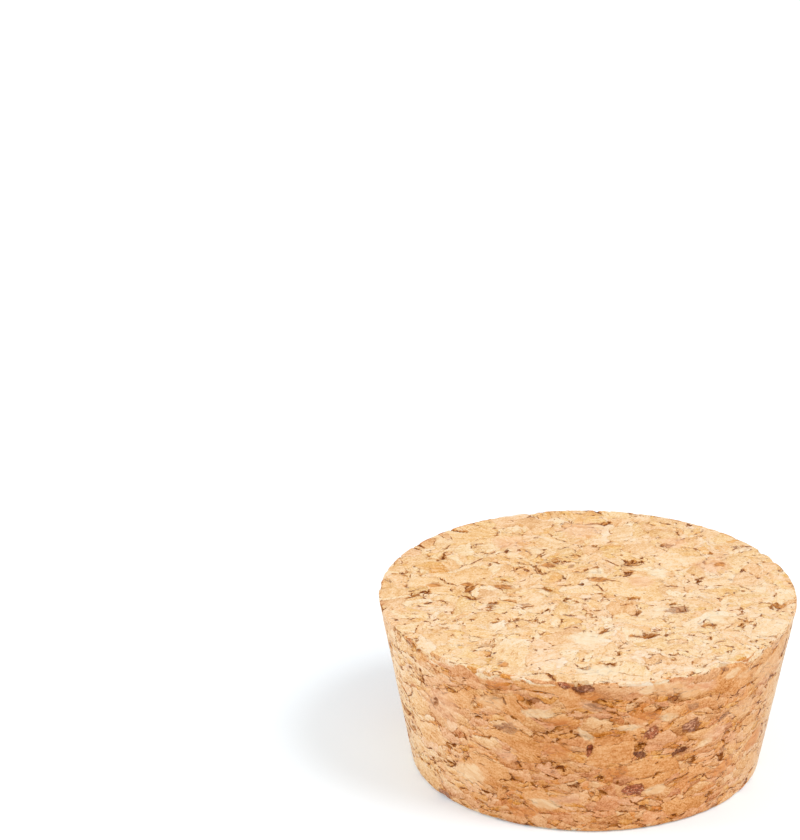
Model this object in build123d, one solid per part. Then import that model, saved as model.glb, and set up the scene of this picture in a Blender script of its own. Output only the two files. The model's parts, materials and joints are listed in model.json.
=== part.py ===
"""Tapered cork stopper: one plug ground from a block of pressed cork granules.

Millimetres. The origin is the centre of the small end, on which the stopper stands,
and +Z runs up the axis to the large end. The front is towards -Y.
"""
import os
from math import atan2, cos, degrees, radians, sin

from build123d import *

# Body of the plug, its diameters taken at the sharp corners before the rims are broken
LARGE_END_DIAMETER = 76.0
SMALL_END_DIAMETER = 63.5
HEIGHT = 32.3
LARGE_RIM_BREAK = 0.35
SMALL_RIM_ROUND = 0.9

# A hollow left where a whole granule tore out
GRANULE_LENGTH = 5.0
GRANULE_WIDTH = 2.8
HOLLOW_DEPTH = 0.8

# The angular granule's outline in shares of its length and width, its inner face as a share of that
# outline, and how far it stood out of the surface as a share of the hollow's depth
GRANULE_OUTLINE_SHARES = [(-0.50, 0.08), (-0.24, -0.40), (0.22, -0.50), (0.50, -0.10), (0.30, 0.42), (-0.16, 0.34)]
INNER_FACE_SHARE = 0.5
GRANULE_RISE_SHARE = 0.35

# Hollows in the side: angle from +X and turn from level in degrees, share of the height, share of the size
SIDE_HOLLOW_SHARES = [
    (-91.3, 70, 0.56, 0.75),
    (-63.7, 12, 0.48, 0.95),
    (-99.8, 8, 0.43, 0.60),
    (-113.3, 25, 0.42, 0.50),
    (-140.8, 55, 0.66, 0.70),
    (-106.4, 5, 0.86, 0.70),
    (-67.7, -8, 0.84, 0.95),
    (-46.4, 15, 0.41, 0.60),
    (-76.6, -10, 0.51, 0.70),
    (-95.6, 15, 0.31, 0.60),
    (-73.4, -28, 0.14, 0.65),
    (-27.0, -15, 0.70, 0.60),
    (-159.0, 20, 0.34, 0.75),
    (-8.0, 10, 0.30, 0.80),
    (12.0, -20, 0.62, 0.70),
    (31.0, 15, 0.24, 0.90),
    (47.0, 5, 0.78, 0.65),
    (66.0, -12, 0.46, 1.00),
    (84.0, 22, 0.18, 0.60),
    (99.0, -5, 0.70, 0.85),
    (117.0, 10, 0.38, 0.70),
    (136.0, -18, 0.85, 0.75),
    (151.0, 8, 0.20, 0.90),
    (168.0, 30, 0.58, 0.65),
]

# Chips in the two rims: angle from +X in degrees, share of the size
LARGE_RIM_CHIP_SHARES = [(-94.5, 1.30), (-53.0, 0.80), (176.0, 0.60), (29.0, 0.80), (104.0, 0.90)]
SMALL_RIM_CHIP_SHARES = [(-145.6, 0.80), (-21.4, 0.70), (58.0, 0.90), (127.0, 0.70)]

# Hollows in the ends: angle from +X and turn from +X in degrees, share of the end's radius, share of the size
LARGE_END_HOLLOW_SHARES = [
    (-173.9, 5, 0.55, 0.65),
    (-61.9, -10, 0.53, 1.10),
    (-24.4, 20, 0.47, 0.95),
    (45.6, 10, 0.70, 0.50),
    (22.1, -60, 0.39, 0.55),
    (-120.0, 15, 0.86, 0.45),
    (-131.3, 25, 0.75, 0.90),
    (170.0, -20, 0.74, 0.50),
    (93.3, 40, 0.25, 0.45),
    (-68.5, 60, 0.72, 0.45),
]
SMALL_END_HOLLOW_SHARES = [
    (20.0, 35, 0.55, 0.90),
    (75.0, -15, 0.80, 0.60),
    (118.0, 70, 0.35, 0.70),
    (162.0, 10, 0.72, 1.00),
    (-145.0, -40, 0.48, 0.55),
    (-98.0, 20, 0.78, 0.80),
    (-60.0, -65, 0.30, 0.60),
    (-25.0, 50, 0.70, 0.75),
]

LARGE_RADIUS = LARGE_END_DIAMETER / 2
SMALL_RADIUS = SMALL_END_DIAMETER / 2
RADIUS_GAIN = LARGE_RADIUS - SMALL_RADIUS


def plug_blank():
    """Turned plug: a half section with its rims already broken, revolved about the axis."""
    foot_rim = (SMALL_RADIUS, 0)
    head_rim = (LARGE_RADIUS, HEIGHT)
    section = make_face(Polyline((0, 0), foot_rim, head_rim, (0, HEIGHT), close=True))
    rims = section.vertices().sort_by(Axis.X)[-2:].sort_by(Axis.Y)
    section = fillet(rims[0], SMALL_RIM_ROUND)
    section = fillet(section.vertices().sort_by(Axis.X)[-1], LARGE_RIM_BREAK)
    return revolve(Plane.XZ * section, Axis.Z)


def granule(size_share):
    """Angular granule that narrows inward along -Z, its outer face risen out of the surface."""
    length = GRANULE_LENGTH * size_share
    width = GRANULE_WIDTH * size_share
    depth = HOLLOW_DEPTH * size_share
    outline = [(length * x_share, width * y_share) for x_share, y_share in GRANULE_OUTLINE_SHARES]
    outer_face = make_face(Polyline(*outline, close=True))
    inner_face = scale(outer_face, by=INNER_FACE_SHARE)
    return loft([Pos(0, 0, -depth) * inner_face, Pos(0, 0, depth * GRANULE_RISE_SHARE) * outer_face], ruled=True)


def outward_place(angle, radius, height, lift):
    """Place on the plug whose Z axis points outward, tipped up from level by lift degrees."""
    out = Vector(cos(radians(angle)), sin(radians(angle)), 0)
    level = Vector(-out.Y, out.X, 0)
    outward = out * cos(radians(lift)) + Vector(0, 0, 1) * sin(radians(lift))
    origin = out * radius + Vector(0, 0, height)
    return Plane(origin=origin, x_dir=level, z_dir=outward)


def side_granules():
    """Granules torn out of the tapered side."""
    taper = degrees(atan2(RADIUS_GAIN, HEIGHT))
    cutters = []
    for angle, turn, height_share, size_share in SIDE_HOLLOW_SHARES:
        radius = SMALL_RADIUS + RADIUS_GAIN * height_share
        place = outward_place(angle, radius, HEIGHT * height_share, -taper)
        cutters.append(place * Rot(0, 0, turn) * granule(size_share))
    return cutters


def rim_granules(chip_shares, radius, height, lift):
    """Granules crumbled out of one rim."""
    return [outward_place(angle, radius, height, lift) * granule(size_share)
            for angle, size_share in chip_shares]


def end_granules(hollow_shares, end_radius, end_plane):
    """Granules torn out of one flat end."""
    cutters = []
    for angle, turn, radius_share, size_share in hollow_shares:
        radius = end_radius * radius_share
        spot = Pos(radius * cos(radians(angle)), radius * sin(radians(angle)), 0)
        cutters.append(end_plane * spot * Rot(0, 0, turn) * granule(size_share))
    return cutters


def stopper():
    """The whole plug with its torn-out hollows and rim chips."""
    head = Plane(origin=(0, 0, HEIGHT), x_dir=(1, 0, 0), z_dir=(0, 0, 1))
    foot = Plane(origin=(0, 0, 0), x_dir=(1, 0, 0), z_dir=(0, 0, -1))
    cutters = side_granules()
    cutters += rim_granules(LARGE_RIM_CHIP_SHARES, LARGE_RADIUS, HEIGHT, 45)
    cutters += rim_granules(SMALL_RIM_CHIP_SHARES, SMALL_RADIUS, 0, -45)
    cutters += end_granules(LARGE_END_HOLLOW_SHARES, LARGE_RADIUS, head)
    cutters += end_granules(SMALL_END_HOLLOW_SHARES, SMALL_RADIUS, foot)
    return plug_blank() - cutters


os.makedirs("parts", exist_ok=True)
export_step(stopper(), "parts/stopper.step")
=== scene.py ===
"""A tapered stopper of pressed cork granules, dressed for a studio picture.

Lengths are metres in the part's own frame: the origin is the centre of the small end, +Z runs up the axis to
the large end and -Y is the front. Angles are degrees, turned from +X towards +Y.
"""

import json
import logging
import math
from dataclasses import dataclass, field
from enum import Enum
from typing import Any, ClassVar, Self

import bpy
import numpy as np
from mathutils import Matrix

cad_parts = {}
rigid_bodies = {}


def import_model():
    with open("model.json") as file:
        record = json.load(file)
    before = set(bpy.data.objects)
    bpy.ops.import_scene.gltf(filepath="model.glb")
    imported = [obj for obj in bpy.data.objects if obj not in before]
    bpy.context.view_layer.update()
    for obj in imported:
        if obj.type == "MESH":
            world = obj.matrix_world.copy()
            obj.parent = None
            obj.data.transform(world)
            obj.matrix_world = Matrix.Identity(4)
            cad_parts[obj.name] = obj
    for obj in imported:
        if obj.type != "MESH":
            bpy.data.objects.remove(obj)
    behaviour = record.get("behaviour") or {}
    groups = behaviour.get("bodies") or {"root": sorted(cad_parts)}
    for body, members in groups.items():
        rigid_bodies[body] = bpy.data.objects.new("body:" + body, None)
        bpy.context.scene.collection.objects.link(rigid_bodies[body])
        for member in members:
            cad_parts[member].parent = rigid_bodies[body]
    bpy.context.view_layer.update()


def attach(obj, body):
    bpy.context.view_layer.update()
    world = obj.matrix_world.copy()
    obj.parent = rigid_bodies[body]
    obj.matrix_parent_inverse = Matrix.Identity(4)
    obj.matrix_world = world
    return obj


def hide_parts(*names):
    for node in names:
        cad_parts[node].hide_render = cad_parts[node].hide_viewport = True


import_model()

LOG = logging.getLogger("cork_stopper")
MM = 0.001
HALF = (0.5, 0.5, 0.5)
Array = np.ndarray
Node = bpy.types.Node
Socket = bpy.types.NodeSocket
Band = tuple[float, ...]
Pair = tuple[float, float]
Triple = tuple[float, float, float]


@dataclass(frozen=True)
class Tone:
    """A colour as it is seen, in parts of 255."""

    red: int
    green: int
    blue: int

    def linear(self) -> tuple[float, float, float, float]:
        """The colour as the linear light that shader sockets hold, by the sRGB curve, with full alpha."""
        seen = np.array([self.red, self.green, self.blue]) / 255
        light = np.where(seen <= 0.04045, seen / 12.92, ((seen + 0.055) / 1.055) ** 2.4)
        return (*light.tolist(), 1.0)


Stops = tuple[tuple[float, Tone], ...]


class GranuleKind(Enum):
    """Granules that stand out from the rest, by the attribute that carries their outlines."""

    PURPLE_BARK = "purple_bark"
    RED_BARK = "red_bark"
    GREY_BARK = "grey_bark"
    ORANGE_WOOD = "orange_wood"
    CREAM_WOOD = "cream_wood"
    PALE_WOOD = "pale_wood"
    PINK_WOOD = "pink_wood"
    AMBER_WOOD = "amber_wood"
    BEIGE_WOOD = "beige_wood"


class Part(Enum):
    """The part of the plug that a granule lies in."""

    SIDE = "side"
    LARGE_END = "large_end"
    SMALL_END = "small_end"
    LARGE_RIM = "large_rim"
    SMALL_RIM = "small_rim"


@dataclass(frozen=True)
class Spot:
    """Where one granule lies and how large it is.

    On the side, share runs up the height; on an end, it runs out along the radius; on a rim it isn't used.
    """

    part: Part
    angle: float
    share: float
    turn: float
    size: float
    slimness: float = 1.0


@dataclass(frozen=True)
class Scatter:
    """Spots strewn by chance where the picture doesn't show: over the back of the side, or over an end."""

    part: Part
    seed: int
    count: int
    sizes: Pair
    slimness: Pair
    back: Pair = (-8.0, 183.0)
    rim_share: float = 0.92
    level_spread: float = 18.0

    def spots(self) -> tuple[Spot, ...]:
        """Strews the spots, one in each equal step of angle, at random heights or radii, turns and sizes.

        Returns:
            The spots by angle.
        """
        draw = np.random.default_rng(self.seed)
        step = (np.arange(self.count) + draw.uniform(0, 1, self.count)) / self.count
        height = draw.uniform(1 - self.rim_share, self.rim_share, self.count)
        turn = draw.normal(0, self.level_spread, self.count)
        size = draw.uniform(*self.sizes, self.count)
        slimness = draw.uniform(*self.slimness, self.count)
        if self.part is Part.SIDE:
            angle = self.back[0] + step * (self.back[1] - self.back[0])
        else:
            angle = step * 360
            height = np.sqrt(height) * self.rim_share
        rows = np.stack([angle, height, turn, size, slimness], axis=1).tolist()
        return tuple(Spot(self.part, *row) for row in rows)


@dataclass(frozen=True)
class PlaneWaves:
    """Smooth seeded noise: a sum of plane sine waves of random direction, length and phase."""

    seed: int
    shortest: float
    longest: float
    count: int = 20

    def at(self, points: Array, channels: int = 1) -> Array:
        """Value of the noise, scaled so that it spreads by about one either way.

        Args:
            points: Places as rows of X, Y and Z.
            channels: How many separate values each place gets.

        Returns:
            One row per place with that many values.
        """
        draw = np.random.default_rng(self.seed)
        ways = draw.normal(size=(channels * self.count, 3))
        ways /= np.linalg.norm(ways, axis=1, keepdims=True)
        lengths = draw.uniform(self.shortest, self.longest, (channels * self.count, 1))
        starts = draw.uniform(0, math.tau, channels * self.count)
        waves = np.sin(points @ (ways * math.tau / lengths).T + starts)
        return waves.reshape(len(points), channels, self.count).sum(axis=2) * math.sqrt(2 / self.count)


class CellHash:
    """Random numbers of whole-numbered cells, the same ones that the Voronoi texture node draws."""

    FINAL_TURNS = ((2, 1, 14), (0, 2, 11), (1, 0, 25), (2, 1, 16), (0, 2, 4), (1, 0, 14), (2, 1, 24))
    MIX_TURNS = ((0, 2, 1, 4), (1, 0, 2, 6), (2, 1, 0, 8), (0, 2, 1, 16), (1, 0, 2, 19), (2, 1, 0, 4))
    SEED = 0xDEADBEEF
    SEED_STEP = 4
    SEED_OFFSET = 13
    FULL = 0xFFFFFFFF
    WORD_BITS = 32

    @staticmethod
    def turned(word: Array, places: int) -> Array:
        """The 32-bit word with its bits turned left by some places."""
        return (word << np.uint32(places)) | (word >> np.uint32(CellHash.WORD_BITS - places))

    def start(self, count: int) -> np.uint32:
        """The word that a stir of so many words starts from."""
        return np.uint32((self.SEED + self.SEED_STEP * count + self.SEED_OFFSET) & self.FULL)

    def stirred(self, state: list[Array]) -> Array:
        """Last stir of three words: each in turn is crossed with another and loses that one turned."""
        for target, other, places in self.FINAL_TURNS:
            state[target] = (state[target] ^ state[other]) - self.turned(state[other], places)
        return state[2]

    def mixed(self, state: list[Array]) -> list[Array]:
        """First stir of three words, before a fourth one joins them."""
        for target, other, third, places in self.MIX_TURNS:
            state[target] = (state[target] - state[other]) ^ self.turned(state[other], places)
            state[other] = state[other] + state[third]
        return state

    def draws(self, cells: Array) -> Array:
        """Three random numbers from 0 to 1 for each cell.

        Args:
            cells: Rows of three whole numbers, as floats.

        Returns:
            Rows of three random numbers: the first from the cell alone, the others with 1 and 2 stirred in.
        """
        words = [np.ascontiguousarray(cells[:, k], np.float32).view(np.uint32) for k in range(3)]
        rows = [self.stirred([word + self.start(3) for word in words])]
        for extra in (1.0, 2.0):
            state = self.mixed([word + self.start(4) for word in words])
            state[0] = state[0] + np.float32(extra).view(np.uint32)
            rows.append(self.stirred(state))
        return np.stack(rows, axis=1) / float(self.FULL)


@dataclass(frozen=True)
class GranuleSizes:
    """How many large and fine granules there are, and how many of each fit along a plain one."""

    large_scale: float = 0.55
    large_share: float = 0.2
    fine_scale: float = 1.9
    fine_share: float = 0.55


@dataclass(frozen=True)
class Granules:
    """Pressed granules as cells around random points, one point in each unit cube."""

    hash: CellHash = CellHash()
    least_gap: float = 1e-6

    def around(self, places: Array) -> tuple[Array, Array, Array, Array]:
        """Nearest granule and the way to its border.

        The border is the plane midway between the nearest point and any other point near it, so its distance
        is the least of (middle of the two points minus place) along the line that joins them.

        Args:
            places: Rows of three numbers in granule space.

        Returns:
            Distance to its border, how level that border lies from 0 to 1, and the three random numbers of
            the granule and of the one across that border.
        """
        base = np.floor(places)
        local = places - base
        steps = np.stack(np.meshgrid(*[np.arange(-1, 2)] * 3, indexing="ij"), -1).reshape(-1, 3)
        ways = [step + self.hash.draws(base + step) - local for step in steps]
        spans = np.stack([(way ** 2).sum(axis=1) for way in ways])
        nearest = spans.argmin(axis=0)
        to_point = np.stack(ways)[nearest, np.arange(len(places))]
        border = np.full(len(places), np.inf)
        levelness = np.zeros(len(places))
        beyond = nearest.copy()
        for index, way in enumerate(ways):
            across = way - to_point
            gap = np.linalg.norm(across, axis=1)
            apart = gap > self.least_gap
            middle = ((to_point + way) / 2 * across).sum(axis=1)
            reach = np.divide(middle, gap, out=np.full(len(places), np.inf), where=apart)
            closer = reach < border
            border = np.where(closer, reach, border)
            beyond = np.where(closer, index, beyond)
            levelness = np.where(closer, np.abs(across[:, 2]) / np.where(apart, gap, 1), levelness)
        own, other = (self.hash.draws(base + steps[index]) for index in (nearest, beyond))
        return border, levelness, own, other


@dataclass(frozen=True)
class GranuleOutline:
    """The angular outline of a torn granule, in shares of its length and width, counter-clockwise."""

    corners: tuple[tuple[float, float], ...] = (
        (-0.50, 0.08), (-0.24, -0.40), (0.22, -0.50), (0.50, -0.10), (0.30, 0.42), (-0.16, 0.34))

    def gauge(self, lengthwise: Array, widthwise: Array) -> Array:
        """How far out a place lies, 0 at the middle and 1 on the outline.

        For each edge it is the distance along the edge's outward normal over the edge's own distance, and the
        largest of these counts.

        Args:
            lengthwise: Place along the length, in shares of it.
            widthwise: Place along the width, in shares of it.

        Returns:
            The gauge of each place.
        """
        corner = np.array(self.corners)
        edge = np.roll(corner, -1, axis=0) - corner
        normal = np.stack([edge[:, 1], -edge[:, 0]], axis=1)
        reach = (normal * corner).sum(axis=1)
        out = np.outer(lengthwise, normal[:, 0]) + np.outer(widthwise, normal[:, 1])
        return np.max(out / reach, axis=1)


@dataclass
class Skin:
    """Arrays of one closed surface before it becomes a mesh."""

    points: Array
    normals: Array
    quads: Array
    bake_places: Array


@dataclass
class PlugForm:
    """The ground plug: two flat ends, a tapered side and two rims."""

    large_radius: float = 38.0 * MM
    small_radius: float = 31.75 * MM
    height: float = 32.3 * MM
    large_rim: float = 0.35 * MM
    small_rim: float = 0.9 * MM
    end_cells: int = 150
    large_rim_rows: int = 3
    side_rows: int = 70
    small_rim_rows: int = 5
    rim_guard: float = 0.12 * MM
    bake_margin: float = 1.0 * MM

    @property
    def taper(self) -> float:
        """Angle of the side from upright, in radians."""
        return math.atan2(self.large_radius - self.small_radius, self.height)

    def profile(self) -> tuple[Array, Array]:
        """Half section from the large end's edge round both rims to the small end's edge.

        Each rim is an arc that touches its end and the side, so its centre lies one rim radius inside both.
        Its points are the centre plus the rim radius along a normal that swings from one face's to the
        other's. A guard row just outside each arc keeps the rim's shading narrow.

        Returns:
            Rows of radius and height, and rows of the normal in that plane.
        """
        head_reach = self.large_rim / math.tan((math.pi / 2 - self.taper) / 2)
        foot_reach = self.small_rim / math.tan((math.pi / 2 + self.taper) / 2)
        head_centre = np.array([self.large_radius - head_reach, self.height - self.large_rim])
        foot_centre = np.array([self.small_radius - foot_reach, self.small_rim])
        head_swing = np.linspace(math.pi / 2, -self.taper, self.large_rim_rows + 1)
        foot_swing = np.linspace(-self.taper, -math.pi / 2, self.small_rim_rows + 1)
        head_normal = np.stack([np.cos(head_swing), np.sin(head_swing)], axis=1)
        foot_normal = np.stack([np.cos(foot_swing), np.sin(foot_swing)], axis=1)
        head = head_centre + self.large_rim * head_normal
        foot = foot_centre + self.small_rim * foot_normal
        guard = self.rim_guard / np.linalg.norm(foot[0] - head[-1])
        down = np.linspace(guard, 1 - guard, self.side_rows - 1)[:, None]
        side = head[-1] + (foot[0] - head[-1]) * down
        side_normal = np.repeat(head_normal[-1:], len(side), axis=0)
        inward = np.array([self.rim_guard, 0.0])
        points = np.concatenate([head[:1] - inward, head, side, foot, foot[-1:] - inward])
        normals = np.concatenate([head_normal[:1], head_normal, side_normal, foot_normal, foot_normal[-1:]])
        return points, normals

    def unit_disc(self) -> Array:
        """A square grid bent into a disc of radius one, with evenly spaced points on its edge.

        Where |a| > |b|, the point lies at radius a and angle (b / a) eighths of a turn; elsewhere it lies at
        radius b and a quarter turn less (a / b) eighths.

        Returns:
            Rows of X and Y, one block of rows for each step of a.
        """
        step = np.linspace(-1, 1, self.end_cells + 1)
        a, b = np.meshgrid(step, step, indexing="ij")
        wide = np.abs(a) > np.abs(b)
        radius = np.where(wide, a, b)
        ratio = np.where(wide, b, a) / np.where(radius == 0, 1, radius)
        angle = np.where(wide, ratio, 2 - ratio) * math.pi / 4
        return np.stack([radius * np.cos(angle), radius * np.sin(angle)], axis=-1).reshape(-1, 2)

    def disc_rim(self) -> Array:
        """Indices of the disc's edge points, counter-clockwise from an eighth of a turn before +X."""
        n = self.end_cells
        index = np.arange((n + 1) ** 2).reshape(n + 1, n + 1)
        return np.concatenate([index[n, :-1], index[:0:-1, n], index[0, :0:-1], index[:-1, 0]])

    def disc_quads(self) -> Array:
        """Faces of the disc's grid, seen from above."""
        n = self.end_cells
        index = np.arange((n + 1) ** 2).reshape(n + 1, n + 1)
        corners = (index[:-1, :-1], index[1:, :-1], index[1:, 1:], index[:-1, 1:])
        return np.stack([corner.ravel() for corner in corners], axis=1)

    def skin(self) -> Skin:
        """The whole surface: the large end's disc, the side's rings and the small end's disc.

        Returns:
            The closed surface with its normals and its flat layout for baking.
        """
        disc = self.unit_disc()
        rim = self.disc_rim()
        section, section_normal = self.profile()
        columns = len(rim)
        angle = np.arange(columns) * math.tau / columns - math.pi / 4
        around = np.stack([np.cos(angle), np.sin(angle)], axis=1)

        def ringed(rows: Array) -> Array:
            """Carries rows of radius and height round the axis."""
            flat = rows[:, None, :1] * around[None]
            level = np.broadcast_to(rows[:, None, 1:], (*flat.shape[:2], 1))
            return np.concatenate([flat, level], axis=2).reshape(-1, 3)

        head = np.column_stack([disc * section[0, 0], np.full(len(disc), section[0, 1])])
        foot = np.column_stack([disc * section[-1, 0], np.full(len(disc), section[-1, 1])])
        up = np.broadcast_to([0.0, 0.0, 1.0], head.shape)
        points = np.concatenate([head, ringed(section[1:-1]), foot])
        normals = np.concatenate([up, ringed(section_normal[1:-1]), -up])
        first_ring = len(disc)
        last_disc = first_ring + (len(section) - 2) * columns
        rings = np.concatenate([
            rim[None], np.arange(first_ring, last_disc).reshape(-1, columns), last_disc + rim[None]])
        turned = np.roll(rings, -1, axis=1)
        bands = np.stack([rings[:-1], rings[1:], turned[1:], turned[:-1]], axis=-1)
        flat_quads = self.disc_quads()
        quads = np.concatenate([flat_quads, bands.reshape(-1, 4), last_disc + flat_quads[:, ::-1]])
        return Skin(points, normals, quads, self.bake_layout(points, section, flat_quads, last_disc, columns))

    def bake_layout(
            self, points: Array, section: Array, flat_quads: Array, last_disc: int, columns: int) -> Array:
        """Flat layout of the surface: both discs side by side and the side's four quarters in two rows above.

        Args:
            points: Points of the plain surface.
            section: Half section from the large end to the small end.
            flat_quads: Faces of one disc's grid.
            last_disc: Index of the small end's first point.
            columns: How many points go round the plug.

        Returns:
            For each face, its four corners from 0 to 1 in a square.
        """
        gap = self.bake_margin
        large, small = self.large_radius, self.small_radius
        head = points[flat_quads][:, :, :2] + large + gap
        foot = points[last_disc + flat_quads[:, ::-1]][:, :, :2] + [2 * large + small + 2 * gap, small + gap]
        down = np.concatenate([[0.0], np.cumsum(np.linalg.norm(np.diff(section, axis=0), axis=1))])
        quarter = columns // 4
        width = math.tau * large / 4
        row, column = np.meshgrid(np.arange(len(down) - 1), np.arange(columns), indexing="ij")
        step = column % quarter
        block = column // quarter
        left = gap + (block % 2) * (width + gap)
        base = 2 * large + 2 * gap + (block // 2) * (down[-1] + gap)
        low, high = base + down[row], base + down[row + 1]
        start, end = left + step * width / quarter, left + (step + 1) * width / quarter
        across = np.stack([start, start, end, end], axis=-1)
        along = np.stack([low, high, high, low], axis=-1)
        bands = np.stack([across, along], axis=-1).reshape(-1, 4, 2)
        extent = max(2 * (large + small) + 3 * gap, 2 * large + 2 * down[-1] + 5 * gap)
        return np.concatenate([head, bands, foot]) / extent


SIDE, LARGE_END, SMALL_END = Part.SIDE, Part.LARGE_END, Part.SMALL_END
LARGE_RIM, SMALL_RIM = Part.LARGE_RIM, Part.SMALL_RIM


def spots(part: Part, *rows: tuple[float, ...]) -> tuple[Spot, ...]:
    """Spots in one part of the plug.

    Args:
        part: The part that they all lie in.
        *rows: Angle, share, turn and size of each, and its slimness where that isn't 1.

    Returns:
        The spots in the order of the rows.
    """
    return tuple(Spot(part, *row) for row in rows)


# Hollows where a granule tore out, as the part's solid has them
HOLLOWS = (
    *spots(
        SIDE,
        (-91.3, 0.56, 70, 0.75), (-63.7, 0.48, 12, 0.95), (-99.8, 0.43, 8, 0.6), (-113.3, 0.42, 25, 0.5),
        (-140.8, 0.66, 55, 0.7), (-106.4, 0.86, 5, 0.7), (-67.7, 0.84, -8, 0.95), (-46.4, 0.41, 15, 0.6),
        (-76.6, 0.51, -10, 0.7), (-95.6, 0.31, 15, 0.6), (-73.4, 0.14, -28, 0.65), (-27.0, 0.7, -15, 0.6),
        (-159.0, 0.34, 20, 0.75), (-8.0, 0.3, 10, 0.8), (12.0, 0.62, -20, 0.7), (31.0, 0.24, 15, 0.9),
        (47.0, 0.78, 5, 0.65), (66.0, 0.46, -12, 1.0), (84.0, 0.18, 22, 0.6), (99.0, 0.7, -5, 0.85),
        (117.0, 0.38, 10, 0.7), (136.0, 0.85, -18, 0.75), (151.0, 0.2, 8, 0.9), (168.0, 0.58, 30, 0.65)),
    *spots(
        LARGE_RIM,
        (-94.5, 1.0, 0, 1.3), (-53.0, 1.0, 0, 0.8), (176.0, 1.0, 0, 0.6), (29.0, 1.0, 0, 0.8),
        (104.0, 1.0, 0, 0.9)),
    *spots(
        SMALL_RIM,
        (-145.6, 0.0, 0, 0.8), (-21.4, 0.0, 0, 0.7), (58.0, 0.0, 0, 0.9), (127.0, 0.0, 0, 0.7)),
    *spots(
        LARGE_END,
        (-173.9, 0.55, 5, 0.65), (-61.9, 0.53, -10, 1.1), (-24.4, 0.47, 20, 0.95), (45.6, 0.7, 10, 0.5),
        (22.1, 0.39, -60, 0.55), (-120.0, 0.86, 15, 0.45), (-131.3, 0.75, 25, 0.9), (170.0, 0.74, -20, 0.5),
        (93.3, 0.25, 40, 0.45), (-68.5, 0.72, 60, 0.45)),
    *spots(
        SMALL_END,
        (20.0, 0.55, 35, 0.9), (75.0, 0.8, -15, 0.6), (118.0, 0.35, 70, 0.7), (162.0, 0.72, 10, 1.0),
        (-145.0, 0.48, -40, 0.55), (-98.0, 0.78, 20, 0.8), (-60.0, 0.3, -65, 0.6), (-25.0, 0.7, 50, 0.75)),
)

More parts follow.
